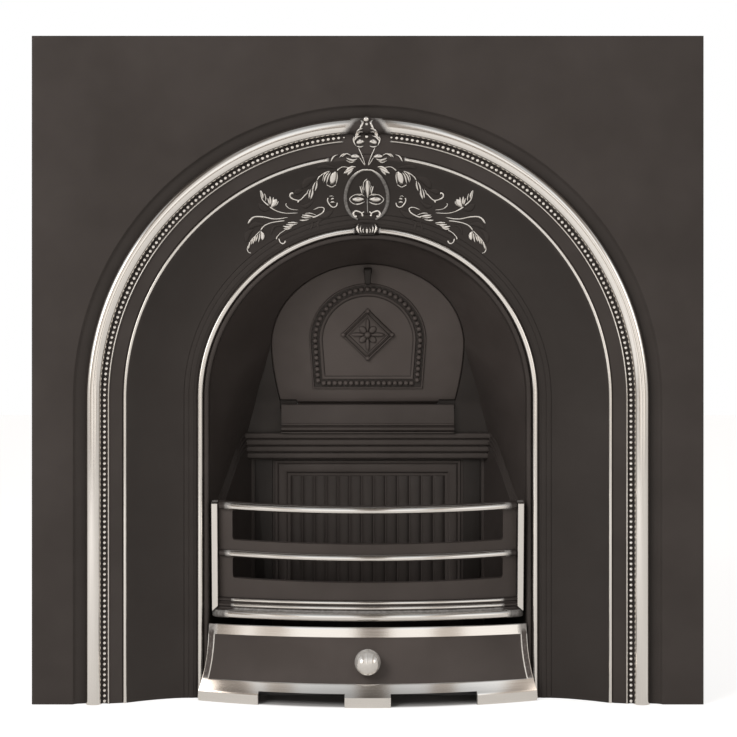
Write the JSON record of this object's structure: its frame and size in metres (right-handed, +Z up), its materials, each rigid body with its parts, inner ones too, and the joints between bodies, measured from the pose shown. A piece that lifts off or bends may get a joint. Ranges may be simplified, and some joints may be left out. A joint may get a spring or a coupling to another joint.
{
  "type": "arched fireplace insert",
  "caption": "Arched cast iron fireplace insert with splayed mouldings, bowed lift-out bars, hinged damper flap, reeded fireback and flared ashpan cover.",
  "frame": {"origin": "on the hearth, under the centre of the plate's front face", "axes": "+X to the viewer's right, +Y back into the chimney, +Z up"},
  "size_m": [0.967, 0.2622, 0.962],
  "materials": {
    "black_iron": "satin charcoal paint on cast iron",
    "polished_iron": "polished cast iron",
    "raw_iron": "raw black casting skin",
    "bright_steel": "zinc plated steel",
    "pan_steel": "mill finish pressed steel",
    "flue_rope": "braided glass fibre rope"
  },
  "bodies": {
    "casing": {"front_plate": "black_iron", "hood": "black_iron", "lintel": "black_iron", "lintel_screws": "bright_steel", "fireback": "black_iron", "left_cheek": "black_iron", "right_cheek": "black_iron", "back_bolts": "bright_steel", "back_nuts": "bright_steel", "bar_frame": "polished_iron", "grate_bearers": "black_iron", "rope_seal": "flue_rope", "flange_studs": "bright_steel", "flange_washers": "bright_steel", "flange_nuts": "bright_steel", "fixing_brackets": "bright_steel", "bracket_bolts": "bright_steel", "bracket_nuts": "bright_steel", "cheek_screws": "bright_steel"},
    "flap": {"damper_door": "black_iron", "damper_handle": "black_iron", "damper_pins": "bright_steel"},
    "front": {"fire_front": "black_iron"},
    "grate": {"bottom_grate": "raw_iron"},
    "cover": {"ashpan_cover": "black_iron", "ashpan_knob": "polished_iron", "knob_screw": "bright_steel", "knob_washer": "bright_steel"},
    "pan": {"ash_pan": "pan_steel", "ash_pan_pull": "pan_steel"}
  },
  "joints": [
    {"name": "flap_hinge", "type": "hinge", "parent": "casing", "child": "flap", "pos_m": [0, 0.20169, 0.424], "axis": [-1, 0, 0], "range_deg": [0, 50]},
    {"name": "front_lift", "type": "slide", "parent": "casing", "child": "front", "axis": [0, -0.0958, 0.9954], "range_m": [0, 0.13]},
    {"name": "grate_lift", "type": "slide", "parent": "casing", "child": "grate", "axis": [0, 0, 1], "range_m": [0, 0.1]},
    {"name": "cover_slide", "type": "slide", "parent": "casing", "child": "cover", "axis": [0, -1, 0], "range_m": [0, 0.22]},
    {"name": "pan_slide", "type": "slide", "parent": "casing", "child": "pan", "axis": [0, -1, 0], "range_m": [0, 0.22]}
  ],
  "couplings": [
    {"joint": "pan_slide", "follows": "cover_slide", "ratio": 1}
  ]
}
